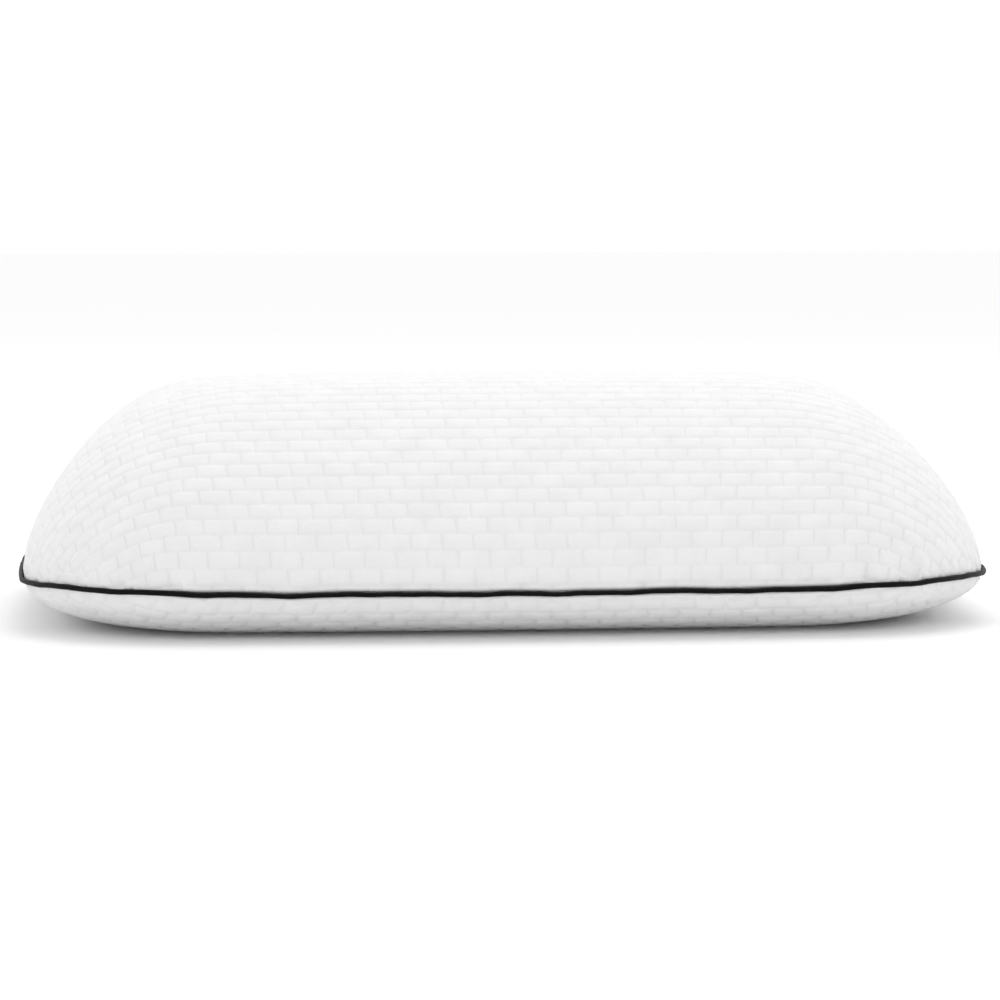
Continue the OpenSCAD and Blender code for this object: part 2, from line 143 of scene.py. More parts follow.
class Shell:
    """The upper or lower half of one layer, with a map from its flat cut to its place on the pillow."""

    def __init__(self, form, inset, lift, upper, gap):
        self.form, self.inset, self.lift, self.upper, self.gap = form, inset, lift, upper, gap
        self.power = form["power"]
        rise = HEIGHT - CROWN_RISE - SEAM_HEIGHT if upper else SEAM_HEIGHT
        steps = np.radians(np.linspace(90, 0, ARC_STEPS))
        self.steps = steps
        inward = run_in(steps, self.power)
        upward = run_up(steps, self.power) * rise
        self.end_run = self.arc(inward * (form["end"] - inset), upward)
        self.side_run = self.arc(inward * (form["side"] - inset), upward)

    @staticmethod
    def arc(across, up):
        return np.concatenate([[0], np.cumsum(np.hypot(np.diff(across), np.diff(up)))])

    def flat_rect(self, angle):
        """Half sizes and corner radius, in the flat cut, of the line that lies at this angle."""
        end_run = np.interp(-angle, -self.steps, self.end_run)
        side_run = np.interp(-angle, -self.steps, self.side_run)
        half_x = HALF_LENGTH - self.form["end"] + end_run
        half_y = HALF_WIDTH - self.form["side"] + side_run
        # The long sides are eased in a little towards the seam, and the corner radius takes up the rest
        laid_x, _, laid_radius = self.laid_rect(angle)
        eased = 1 - self.form["easing"] * (side_run / self.side_run[-1]) ** 2
        return half_x, half_y, half_x - (laid_x - laid_radius) / eased

    def laid_rect(self, angle):
        """The same line on the pillow."""
        g = run_in(angle, self.power)
        half_x = HALF_LENGTH - self.inset - (self.form["end"] - self.inset) * g
        half_y = HALF_WIDTH - self.inset - (self.form["side"] - self.inset) * g
        radius = CORNER_RADIUS - self.inset + (self.form["flat_radius"] - CORNER_RADIUS) * g
        return half_x, half_y, radius

    def inside(self, u, v, angle=0.0):
        """How far a point of the flat cloth lies inside the line at this angle."""
        half_x, half_y, radius = self.flat_rect(angle)
        qx = np.abs(u) - (half_x - radius)
        qy = np.abs(v) - (half_y - radius)
        beyond = np.hypot(np.maximum(qx, 0), np.maximum(qy, 0)) + np.minimum(np.maximum(qx, qy), 0)
        return radius - beyond

    def angle_of(self, u, v):
        """The angle of the line that a point of the flat cloth lies on, by halving."""
        low = np.zeros_like(u)
        high = np.full_like(u, math.pi / 2)
        for _ in range(HALVINGS):
            middle = (low + high) / 2
            within = self.inside(u, v, middle) > 0
            low = np.where(within, middle, low)
            high = np.where(within, high, middle)
        return (low + high) / 2

    def place(self, u, v):
        """Where points of the flat cloth lie on the pillow, as an array of x, y, z."""
        angle = self.angle_of(u, v)
        flat_x, flat_y, flat_r = self.flat_rect(angle)
        laid_x, laid_y, laid_r = self.laid_rect(angle)
        qx = np.abs(u) - (flat_x - flat_r)
        qy = np.abs(v) - (flat_y - flat_r)
        turn = np.arctan2(np.maximum(qy, 0), np.maximum(qx, 0))
        past_x, past_y = qx > 0, qy > 0
        on_face = angle < FLAT_FROM
        run_x = np.abs(u) * (laid_x - laid_r) / (flat_x - flat_r)
        run_y = np.abs(v) * (laid_y - laid_r) / (flat_y - flat_r)
        x = np.where(past_x, laid_x - laid_r + laid_r * np.where(past_y, np.cos(turn), 1), run_x)
        y = np.where(past_y, laid_y - laid_r + laid_r * np.where(past_x, np.sin(turn), 1), run_y)
        x = np.where(on_face, x, np.abs(u)) * np.sign(u)
        y = np.where(on_face, y, np.abs(v)) * np.sign(v)
        return self.raise_up(*bowed(x, y), angle)

    def raise_up(self, x, y, angle):
        """Adds the height that this angle gives to points of the plan."""
        up = run_up(angle, self.power)
        if self.upper:
            low = seam_z(x, y) + self.gap
            high = HEIGHT - CROWN_RISE - self.lift
            z = low + (high - low) * up + crown(x, y) * up
        else:
            high = seam_z(x, y) - self.gap
            z = self.lift + (high - self.lift) * (1 - up)
        return np.stack([x, y, z], axis=-1)

    def normals(self, u, v):
        """Which way is outwards."""
        step = 0.4 * MM
        along = self.place(u + step, v) - self.place(u - step, v)
        across = self.place(u, v + step) - self.place(u, v - step)
        n = np.cross(along, across)
        n /= np.linalg.norm(n, axis=-1, keepdims=True) + 1e-12
        return n if self.upper else -n

    def seam_distance(self, u, v):
        return self.inside(u, v, 0.0)

    def extent(self):
        half_x, half_y, _ = self.flat_rect(0.0)
        return float(half_x), float(half_y)


# ---- Cutting cloth ----

def grid_lines(pitch, offsets, phase, reach):
    """Lines at the same few offsets in every pitch, from -reach to reach."""
    first = math.floor((-reach - phase) / pitch)
    last = math.ceil((reach - phase) / pitch)
    lines = [phase + pitch * k + o for k in range(first, last + 1) for o in offsets]
    return np.array([x for x in lines if -reach <= x <= reach])


def cut_cloth(us, vs, inside):
    """Cuts a grid of cloth to an outline. Returns the points (u, v) and the faces that lie inside."""
    u, v = np.meshgrid(us, vs, indexing="ij")
    depth = inside(u.ravel(), v.ravel()).reshape(u.shape)
    kept = depth > 0
    number = np.where(kept, np.cumsum(kept).reshape(u.shape) - 1, -1)
    points = list(zip(u[kept], v[kept]))
    crossings = {}

    def crossing(a, b):
        key = (a, b) if a < b else (b, a)
        if key not in crossings:
            t = depth[a] / (depth[a] - depth[b])
            crossings[key] = len(points)
            points.append((u[a] + t * (u[b] - u[a]), v[a] + t * (v[b] - v[a])))
        return crossings[key]

    whole = kept[:-1, :-1] & kept[1:, :-1] & kept[1:, 1:] & kept[:-1, 1:]
    i, j = np.nonzero(whole)
    faces = np.stack([number[i, j], number[i + 1, j], number[i + 1, j + 1], number[i, j + 1]], 1).tolist()
    partly = (kept[:-1, :-1] | kept[1:, :-1] | kept[1:, 1:] | kept[:-1, 1:]) & ~whole
    for i, j in zip(*np.nonzero(partly)):
        corners = [(i, j), (i + 1, j), (i + 1, j + 1), (i, j + 1)]
        face = []
        for a, b in zip(corners, corners[1:] + corners[:1]):
            if kept[a]:
                face.append(int(number[a]))
            if kept[a] != kept[b]:
                face.append(crossing(a, b))
        if len(face) > 2:
            faces.append(face)
    return np.array(points), faces


def rim_edges(faces):
    """The directed edges that only one face uses."""
    seen = {}
    for face in faces:
        for a, b in zip(face, face[1:] + face[:1]):
            if (b, a) in seen:
                del seen[(b, a)]
            else:
                seen[(a, b)] = True
    return list(seen)


def turned_rim(places, normals, faces, depth):
    """Turns the cut edge inwards, so that the cloth shows its thickness."""
    edges = rim_edges(faces)
    rim = sorted({a for edge in edges for a in edge})
    twin = {a: len(places) + k for k, a in enumerate(rim)}
    places = np.concatenate([places, places[rim] - normals[rim] * depth])
    return places, faces + [[b, a, twin[a], twin[b]] for a, b in edges], rim


def new_mesh(name, places, faces, material, cloth=None):
    mesh = bpy.data.meshes.new(name)
    mesh.from_pydata([tuple(p) for p in places], [], faces)
    mesh.validate()
    mesh.polygons.foreach_set("use_smooth", [True] * len(mesh.polygons))
    if cloth is not None:
        layer = mesh.attributes.new("cloth", "FLOAT_VECTOR", "POINT")
        layer.data.foreach_set("vector", np.asarray(cloth, np.float32).ravel())
    mesh.materials.append(material)
    piece = bpy.data.objects.new(name, mesh)
    bpy.context.scene.collection.objects.link(piece)
    return piece


# ---- Relief, puckers and wrinkles ----

BRICK_PUFF = 0.42 * MM
HEAD_GROOVE = 0.6 * MM
BED_GROOVE = 0.26 * MM
GROOVE_WIDTH = 0.8 * MM
# Even powers: the higher, the flatter a brick is between its edges
FULLNESS_ACROSS = 4
FULLNESS_ALONG = 6


def brick_relief(u, v, first_row):
    """Height of the knit's raised bricks, laid in running bond with courses along u."""
    row = np.floor((v - first_row) / BRICK_HEIGHT + 1e-6)
    in_row = (v - first_row) - row * BRICK_HEIGHT
    shift = np.where(row % 2 == 0, 0, BRICK_LENGTH / 2)
    in_brick = np.mod(u - shift + 1e-7, BRICK_LENGTH)
    to_bed = np.minimum(in_row, BRICK_HEIGHT - in_row)
    to_head = np.minimum(in_brick, BRICK_LENGTH - in_brick)
    fill_v = 1 - (1 - 2 * to_bed / BRICK_HEIGHT) ** FULLNESS_ACROSS
    fill_u = 1 - (1 - 2 * to_head / BRICK_LENGTH) ** FULLNESS_ALONG
    column = np.floor((u - shift + 1e-7) / BRICK_LENGTH)
    # No two neighbours are padded quite alike
    uneven = 0.12 * np.sin(12.9898 * column + 78.233 * row) + 0.08 * np.sin(3.7 * column - 5.1 * row)
    puff = BRICK_PUFF * (1 + uneven) * fill_u * fill_v
    bed = BED_GROOVE * np.exp(-(to_bed / GROOVE_WIDTH) ** 2)
    head = HEAD_GROOVE * np.exp(-(to_head / GROOVE_WIDTH) ** 2)
    return puff - np.maximum(bed, head)


def slow_wave(along, seed, pitches, period):
    """An uneven wave of about unit height that closes on itself over `period`."""
    rng = np.random.default_rng(seed)
    total = np.zeros_like(along)
    for pitch in pitches:
        turns = max(1, round(period / pitch))
        total += np.sin(2 * math.pi * turns * along / period + rng.uniform(0, 2 * math.pi))
    return total / math.sqrt(len(pitches))


PERIMETER = 4 * (HALF_LENGTH + HALF_WIDTH) - (8 - 2 * math.pi) * CORNER_RADIUS
PIPING_WAVE = 0.35 * MM
WANDER_PITCHES = (140 * MM, 85 * MM, 47 * MM)
WANDER_REACH = 30 * MM
FRONT_SAG = 1.8 * MM
PUCKER_HEIGHT = 0.5 * MM
PUCKER_PITCHES = (23 * MM, 14 * MM, 9.5 * MM)
PUCKER_START = 3 * MM
PUCKER_REACH = 16 * MM
CORNER_GATHER = 1.3


def way_round(x, y):
    """A rough measure of how far round the pillow a point lies, the same for every piece."""
    return PERIMETER * np.mod(np.arctan2(y / HALF_WIDTH, x / HALF_LENGTH) / (2 * math.pi), 1)


def seam_wander(x, y):
    """How far the sewn seam wanders up and down, with a slow sag along the front."""
    wave = PIPING_WAVE * slow_wave(way_round(x, y), SEED, WANDER_PITCHES, PERIMETER)
    return wave - FRONT_SAG * (1 - (x / HALF_LENGTH) ** 2) * smooth(-y / HALF_WIDTH)


def pucker(x, y, from_seam, seed):
    """Small gathers where the feed of the machine has drawn the cloth up along the seam."""
    wave = slow_wave(way_round(x, y), seed, PUCKER_PITCHES, PERIMETER)
    fade = np.exp(-from_seam / PUCKER_REACH) * smooth(from_seam / PUCKER_START)
    corner = 1 + CORNER_GATHER * near_corner(x, y, 0.45, 0.3)
    return PUCKER_HEIGHT * wave * fade * corner


SIM_STEP_U = BRICK_LENGTH / 2
SIM_STEP_V = BRICK_HEIGHT
SIM_FRAMES = 22
SIM_CAP = 2.6 * MM
SLACK = 1.012
START_LIFT = (0.1 * MM, 0.7 * MM)
FOAM_BELOW = 1.4 * MM
FOAM_SKIN = 0.8 * MM
CLOTH_SKIN = 0.6 * MM
SAME_PLACE = 1e-6
# Within these distances of the seam and of the floor the cloth is held, and does not swell
SEAM_HOLD = 22 * MM
FLOOR_HOLD = 8 * MM


def settle(shell, inside, seed):
    """Lays the flat cut on the foam by cloth simulation. Returns how far out each grid point moves."""
    reach_u, reach_v = shell.extent()
    us = grid_lines(SIM_STEP_U, [0], 0, reach_u + SIM_STEP_U)
    vs = grid_lines(SIM_STEP_V, [0], 0, reach_v + SIM_STEP_V)
    points, faces = cut_cloth(us, vs, inside)
    rim = sorted({a for edge in rim_edges(faces) for a in edge})
    start = shell.place(points[:, 0], points[:, 1])
    normals = shell.normals(points[:, 0], points[:, 1])
    rng = np.random.default_rng(seed)
    lifted = start + normals * rng.uniform(*START_LIFT, len(points))[:, None]
    lifted[rim] = start[rim]
    facing = faces if shell.upper else [face[::-1] for face in faces]
    cloth = new_mesh("settling", lifted, facing, PLAIN)
    pins = cloth.vertex_groups.new(name="seam")
    pins.add(rim, 1.0, "REPLACE")
    cloth.shape_key_add(name="Basis")
    cut = cloth.shape_key_add(name="cut")
    flat = np.column_stack([points * SLACK, np.zeros(len(points))])
    cut.data.foreach_set("co", flat.astype(np.float32).ravel())
    foam = new_mesh("settling_foam", start - normals * FOAM_BELOW, facing, PLAIN)
    foam.modifiers.new("Collision", "COLLISION")
    foam.collision.thickness_outer = FOAM_SKIN
    foam.collision.cloth_friction = 8
    modifier = cloth.modifiers.new("Cloth", "CLOTH")
    weave = modifier.settings
    weave.quality = 6
    weave.mass = 0.25
    weave.tension_stiffness = 12
    weave.compression_stiffness = 8
    weave.shear_stiffness = 3
    weave.bending_stiffness = 0.35
    weave.vertex_group_mass = "seam"
    weave.rest_shape_key = cut
    weave.use_pressure = True
    weave.uniform_pressure_force = 0.6
    weave.effector_weights.gravity = 0
    modifier.collision_settings.distance_min = CLOTH_SKIN
    modifier.point_cache.frame_start = 1
    modifier.point_cache.frame_end = SIM_FRAMES
    for number in range(1, SIM_FRAMES + 1):
        bpy.context.scene.frame_set(number)
    seen = cloth.evaluated_get(bpy.context.evaluated_depsgraph_get())
    settled = np.empty(len(points) * 3, np.float32)
    seen.data.vertices.foreach_get("co", settled)
    bpy.context.scene.frame_set(1)
    outward = np.sum((settled.reshape(-1, 3) - start) * normals, axis=1)
    outward = SIM_CAP * np.tanh(outward / SIM_CAP)
    outward[rim] = 0
    lattice = np.zeros((len(us), len(vs)))
    column = np.searchsorted(us, points[:, 0])
    row = np.searchsorted(vs, points[:, 1])
    for c, r, value, u, v in zip(column, row, outward, points[:, 0], points[:, 1]):
        on_grid = c < len(us) and r < len(vs)
        if on_grid and abs(us[c] - u) < SAME_PLACE and abs(vs[r] - v) < SAME_PLACE:
            lattice[c, r] = value
    for piece in (cloth, foam):
        bpy.data.objects.remove(piece)
    return us, vs, lattice


def cubic_weights(t):
    """Weights of a cubic B-spline on its four neighbours."""
    first = (1 - t) ** 3
    second = 3 * t ** 3 - 6 * t ** 2 + 4
    third = -3 * t ** 3 + 3 * t ** 2 + 3 * t + 1
    return np.stack([first, second, third, t ** 3]) / 6


def read_lattice(us, vs, lattice, u, v):
    """Reads the lattice smoothly between its points."""
    padded = np.pad(lattice, 2)
    a = (u - us[0]) / (us[1] - us[0])
    b = (v - vs[0]) / (vs[1] - vs[0])
    i = np.clip(np.floor(a).astype(int), -1, len(us) - 1)
    j = np.clip(np.floor(b).astype(int), -1, len(vs) - 1)
    wu, wv = cubic_weights(np.clip(a - i, 0, 1)), cubic_weights(np.clip(b - j, 0, 1))
    total = np.zeros_like(u)
    for m in range(4):
        for n in range(4):
            total += wu[m] * wv[n] * padded[i + 1 + m, j + 1 + n]
    return total


# ---- Materials ----

class Look:
    """A material's node tree, with short calls for the nodes it is built from."""

    def __init__(self, name, colour, roughness, **finish):
        self.material = bpy.data.materials.new(name)
        self.material.use_nodes = True
        self.nodes = self.material.node_tree.nodes
        self.links = self.material.node_tree.links
        self.shader = self.nodes["Principled BSDF"]
        self.shader.inputs["Base Color"].default_value = (*colour, 1)
        self.shader.inputs["Roughness"].default_value = roughness
        for socket, value in finish.items():
            self.shader.inputs[socket.replace("_", " ")].default_value = value

    def add(self, kind, **inputs):
        node = self.nodes.new("ShaderNode" + kind)
        for key, value in inputs.items():
            self.feed(node, key.replace("_", " "), value)
        return node

    def feed(self, node, key, value):
        socket = node.inputs[int(key[1:])] if key[0] == "i" and key[1:].isdigit() else node.inputs[key]
        if isinstance(value, bpy.types.NodeSocket):
            self.links.new(value, socket)
        else:
            socket.default_value = value

    def math(self, operation, a, b=0.0):
        node = self.nodes.new("ShaderNodeMath")
        node.operation = operation
        self.feed(node, "i0", a)
        self.feed(node, "i1", b)
        return node.outputs[0]

    def place(self, attribute=None):
        """Coordinates in metres: the flat cloth's own, or the frame's."""
        if attribute:
            node = self.nodes.new("ShaderNodeAttribute")
            node.attribute_name = attribute
            return node.outputs["Vector"]
        return self.nodes.new("ShaderNodeTexCoord").outputs["Object"]

    def split(self, vector):
        node = self.add("SeparateXYZ", Vector=vector)
        return node.outputs["X"], node.outputs["Y"], node.outputs["Z"]

    def noise(self, vector, scale, detail=3.0):
        return self.add("TexNoise", Vector=vector, Scale=scale, Detail=detail).outputs[0]

    def stripes(self, coordinate, pitch):
        """A rounded ridge, 0 to 1, once in every pitch."""
        wave = self.math("SINE", self.math("MULTIPLY", coordinate, math.pi / pitch))
        return self.math("ABSOLUTE", wave)

    def ramp(self, value, dark, light, low=0.0, high=1.0):
        node = self.add("ValToRGB", Fac=value)
        node.color_ramp.elements[0].position = low
        node.color_ramp.elements[0].color = (*dark, 1)
        node.color_ramp.elements[1].position = high
        node.color_ramp.elements[1].color = (*light, 1)
        return node.outputs["Color"]

    def colour(self, socket):
        self.links.new(socket, self.shader.inputs["Base Color"])

    def rough(self, value, low, high):
        node = self.add("MapRange", Value=value, To_Min=low, To_Max=high)
        self.links.new(node.outputs["Result"], self.shader.inputs["Roughness"])

    def bump(self, height, distance, strength=1.0):
        node = self.add("Bump", Height=height, Distance=distance, Strength=strength)
        self.links.new(node.outputs["Normal"], self.shader.inputs["Normal"])


def knit_height(look, vector, wale, course):
    """Rows of V-shaped loops: ridges along each wale, slanted one way and the other by turns."""
    u, v, _ = look.split(vector)
    slant = look.math("MULTIPLY", look.stripes(u, wale), 0.55 * course)
    loops = look.stripes(look.math("ADD", v, slant), course)
    wales = look.stripes(u, wale / 2)
    return look.math("ADD", look.math("MULTIPLY", loops, 0.5), look.math("MULTIPLY", wales, 0.5))


def cover_look():
    look = Look("cover_knit", (0.93, 0.93, 0.93), 0.9, Sheen_Weight=0.25, Sheen_Roughness=0.5)
    vector = look.place("cloth")
    knit = knit_height(look, vector, 1.1 * MM, 0.8 * MM)
    fuzz = look.noise(vector, 900.0)
    mottle = look.noise(vector, 45.0)
    look.colour(look.ramp(mottle, (0.812, 0.81, 0.81), (0.85, 0.848, 0.846), 0.3, 0.7))
    look.rough(fuzz, 0.82, 0.96)
    look.bump(look.math("ADD", knit, look.math("MULTIPLY", fuzz, 0.5)), 0.09 * MM, 0.6)
    return look.material


def jersey_look():
    look = Look("liner_jersey", (0.9, 0.9, 0.89), 0.85, Sheen_Weight=0.2)
    vector = look.place("cloth")
    look.colour(look.ramp(look.noise(vector, 60.0), (0.87, 0.87, 0.86), (0.92, 0.92, 0.91), 0.3, 0.7))
    look.rough(look.noise(vector, 700.0), 0.78, 0.92)
    look.bump(knit_height(look, vector, 0.7 * MM, 0.55 * MM), 0.1 * MM, 0.8)
    return look.material


def piping_look():
    look = Look("piping_binding", (0.003, 0.003, 0.003), 0.55, Sheen_Weight=0.02, Specular_IOR_Level=0.08)
    vector = look.place("cloth")
    along, around, _ = look.split(vector)
    twill = look.stripes(look.math("ADD", along, look.math("MULTIPLY", around, 1.2)), 0.55 * MM)
    lint = look.noise(vector, 350.0)
    look.colour(look.ramp(lint, (0.001, 0.001, 0.0012), (0.006, 0.006, 0.0065), 0.35, 0.8))
    look.rough(twill, 0.6, 0.42)
    look.bump(look.math("ADD", twill, look.math("MULTIPLY", lint, 0.3)), 0.08 * MM, 0.7)
    return look.material


def foam_look():
    look = Look("moulded_foam", (0.88, 0.83, 0.7), 0.75, Subsurface_Weight=0.15, Subsurface_Scale=4 * MM)
    vector = look.place()
    cells = look.add("TexVoronoi", Vector=vector, Scale=900.0).outputs["Distance"]
    look.colour(look.ramp(look.noise(vector, 18.0), (0.84, 0.78, 0.63), (0.9, 0.86, 0.74), 0.3, 0.7))
    look.rough(cells, 0.85, 0.68)
    look.bump(cells, 0.25 * MM, 0.5)
    return look.material


def thread_look(name="sewing_thread", colour=(0.92, 0.92, 0.91), attribute="cloth"):
    look = Look(name, colour, 0.5, Sheen_Weight=0.3)
    vector = look.place(attribute)
    along, around, _ = look.split(vector)
    ply = look.stripes(look.math("ADD", along, look.math("MULTIPLY", around, 0.8)), 0.45 * MM)
    # Darker in the grooves between the plies: painted shade in the twist's hollows.
    dark = tuple(0.86 * c for c in colour)
    look.colour(look.ramp(ply, dark, colour, 0.0, 0.6))
    look.rough(ply, 0.6, 0.42)
    look.bump(ply, 0.08 * MM, 0.8)
    return look.material


def filler_look():
    look = Look("filler_cotton", (0.82, 0.79, 0.7), 0.9, Sheen_Weight=0.3)
    vector = look.place()
    look.colour(look.ramp(look.noise(vector, 400.0), (0.76, 0.72, 0.62), (0.86, 0.83, 0.75), 0.3, 0.7))
    look.bump(look.noise(vector, 1500.0), 0.15 * MM, 0.8)
    return look.material


def tape_look():
    """Zip tape: fine herringbone, with ribs along the tape, and painted shade in the weave's hollows."""
    look = Look("zip_tape", (0.9, 0.9, 0.9), 0.72, Sheen_Weight=0.2)
    vector = look.place()
    x, y, z = look.split(vector)
    across = look.math("ADD", y, z)
    zigzag = look.stripes(across, 2.2 * MM)
    weave = look.stripes(look.math("ADD", x, look.math("MULTIPLY", zigzag, 1.1 * MM)), 0.55 * MM)
    # Darker where the weave is low: painted shade in its hollows.
    look.colour(look.ramp(weave, (0.8, 0.8, 0.8), (0.92, 0.92, 0.92), 0.0, 0.7))
    look.rough(weave, 0.8, 0.65)
    look.bump(weave, 0.12 * MM, 0.9)
    return look.material


def coil_look():
    look = Look("coil_nylon", (0.9, 0.9, 0.91), 0.34, Coat_Weight=0.2, Subsurface_Weight=0.1)
    vector = look.place()
    wear = look.noise(vector, 240.0)
    look.colour(look.ramp(wear, (0.85, 0.85, 0.86), (0.93, 0.93, 0.94), 0.35, 0.7))
    look.rough(wear, 0.28, 0.44)
    look.bump(look.noise(vector, 2200.0), 0.02 * MM, 0.5)
    return look.material


def clip_look():
    look = Look("stop_aluminium", (0.8, 0.8, 0.82), 0.35, Metallic=1.0)
    vector = look.place()
    grain = look.noise(vector, 1400.0)
    look.colour(look.ramp(grain, (0.7, 0.7, 0.72), (0.86, 0.86, 0.88), 0.3, 0.7))
    look.rough(grain, 0.28, 0.5)
    look.bump(grain, 0.03 * MM, 0.6)
    return look.material


def enamel_look():
    """White enamel, worn thin to the metal in small specks."""
    look = Look("slider_enamel", (0.9, 0.9, 0.9), 0.22, Coat_Weight=0.5, Coat_Roughness=0.12)
    vector = look.place()
    specks = look.noise(vector, 650.0, 5.0)
    orange_peel = look.noise(vector, 1600.0)
    look.colour(look.ramp(specks, (0.8, 0.8, 0.8), (0.55, 0.55, 0.57), 0.7, 0.8))
    look.rough(orange_peel, 0.17, 0.32)
    look.bump(orange_peel, 0.02 * MM, 0.5)
    return look.material


def satin_look():
    look = Look("label_satin", (0.94, 0.94, 0.94), 0.38, Sheen_Weight=0.3, Anisotropic=0.5)
    vector = look.place("cloth")
    u, v, _ = look.split(vector)
    floats = look.stripes(look.math("ADD", v, look.math("MULTIPLY", u, 0.35)), 0.35 * MM)
    look.colour(look.ramp(look.noise(vector, 120.0), (0.91, 0.91, 0.915), (0.96, 0.96, 0.96), 0.3, 0.7))
    look.rough(floats, 0.5, 0.32)
    look.bump(floats, 0.04 * MM, 0.6)
    return look.material


PLAIN = bpy.data.materials.new("settling_cloth")
COVER = cover_look()
JERSEY = jersey_look()
PIPING = piping_look()
FOAM = foam_look()
THREAD = thread_look()
HIDDEN_THREAD = thread_look("overlock_thread", (0.9, 0.9, 0.88), None)
FILLER = filler_look()
TAPE = tape_look()
COIL = coil_look()
CLIP = clip_look()
ENAMEL = enamel_look()
SATIN = satin_look()


def dress(nodes, material, bevel=0.0):
    """Gives CAD nodes a better material, and rounds their sharp edges where that is asked for."""
    for name in nodes:
        piece = frame["nodes"][name]
        piece.data.materials.clear()
        piece.data.materials.append(material)
        if bevel:
            rounding = piece.modifiers.new("rounding", "BEVEL")
            rounding.width = bevel
            rounding.segments = 3
            rounding.limit_method = "ANGLE"
            rounding.angle_limit = math.radians(35)


def put(piece, body, slot, *nodes):
    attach(piece, body)
    if nodes:
        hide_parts(*nodes)
    return piece


# ---- Camera ----

AIM = Vector((0, 0, 60 * MM))
CAMERA_DISTANCE = 2.27
CAMERA_TURN = math.radians(4.8)
CAMERA_RISE = math.radians(5.11)
CAMERA_ROLL = math.radians(-0.09)
# Sensor and lens in millimetres; shifts as shares of the picture's width
SENSOR = 36.0
LENS = 126.58
SHIFT_RIGHT = 0.0065
SHIFT_UP = 0.0099
CLIP_NEAR, CLIP_FAR = 0.01, 50


def make_camera():
    data = bpy.data.cameras.new("camera")
    camera = bpy.data.objects.new("camera", data)
    bpy.context.scene.collection.objects.link(camera)
    back = Vector((-math.cos(CAMERA_RISE) * math.sin(CAMERA_TURN),
                   -math.cos(CAMERA_RISE) * math.cos(CAMERA_TURN),
                   math.sin(CAMERA_RISE)))
    right = Vector((math.cos(CAMERA_TURN), -math.sin(CAMERA_TURN), 0))
    up = back.cross(right)
    rolled_right = right * math.cos(CAMERA_ROLL) + up * math.sin(CAMERA_ROLL)
    rolled_up = up * math.cos(CAMERA_ROLL) - right * math.sin(CAMERA_ROLL)
    turn = Matrix((rolled_right, rolled_up, back)).transposed()
    camera.matrix_world = Matrix.Translation(AIM + back * CAMERA_DISTANCE) @ turn.to_4x4()
    data.sensor_width = SENSOR
    data.lens = LENS
    data.shift_x = SHIFT_RIGHT
    data.shift_y = SHIFT_UP
    data.clip_start = CLIP_NEAR
    data.clip_end = CLIP_FAR
    bpy.context.scene.camera = camera


# ---- Cover and liner panels ----

# The tab's hinge gives the zip's place and slope: its bar lies straight out from the chain
zip_joint = next(j for j in frame["joints"] if j["name"] == "pull_flip")
BAR_LIFT = 4.35 * MM
PULL_BAR = Vector(zip_joint["pos_m"])
OUTWARD = Vector((0, -zip_joint["axis"][2], zip_joint["axis"][1]))
DOWNWARD = Vector((0, zip_joint["axis"][1], zip_joint["axis"][2]))
CHAIN = Vector((0, PULL_BAR.y, PULL_BAR.z)) - OUTWARD * BAR_LIFT

# The opening is full as far as the bartacks, and closes by the tapes' ends
_, bar_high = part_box("zip_bartacks")
_, tape_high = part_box("zip_tape_upper")
TACK_BITE = 0.6 * MM
OPENING_REACH = bar_high.x - TACK_BITE
FOLD_DROP = 4.6 * MM

# Offsets of the fine mesh's lines inside half a brick and inside a course
HEAD_OFFSETS = [0, 0.8 * MM, 2.6 * MM, 7.4 * MM, 9.2 * MM]
BED_OFFSETS = [0, 0.9 * MM, 2.9 * MM, 7.7 * MM, 9.7 * MM]

COVER_TOP = Shell(TOP, 0, 0, True, SEAM_GAP)
COVER_UNDER = Shell(UNDER, 0, 0, False, SEAM_GAP)


def fold_depth(shell):
    """How far from the seam, along the cloth, the lower panel folds back for the zip."""
    angles = np.radians(np.linspace(0, 90, 400))
    places = shell.raise_up(np.zeros_like(angles), shell.laid_rect(angles)[1], angles)
    run = Shell.arc(places[:, 1], places[:, 2])
    edge = CHAIN + DOWNWARD * FOLD_DROP
    return float(np.interp(-edge.z, -places[:, 2], run))


FOLD_DEPTH = fold_depth(COVER_UNDER)


def under_inside(u, v):
    """The lower panel stops short of the seam along the zip."""
    along = np.abs(COVER_UNDER.place(u, v)[..., 0])
    window = smooth((tape_high.x - along) / (tape_high.x - OPENING_REACH))
    at_seam = COVER_UNDER.seam_distance(u, v)
    return np.where(v > 0, at_seam - FOLD_DEPTH * window, at_seam)


def sew_panel(name, shell, points, faces, laid, normals, thickness, material, slot, node):
    laid, faces, rim = turned_rim(laid, normals, faces, thickness)
    cloth = np.column_stack([np.concatenate([points, points[rim]]), np.zeros(len(laid))])
    if not shell.upper:
        faces = [face[::-1] for face in faces]
    panel = new_mesh(name, laid, faces, material, cloth)
    put(panel, "pillow", slot, node)
    reach_u, reach_v = shell.extent()


RELIEF_START = 4 * MM
CUT_MARGIN = 2 * MM


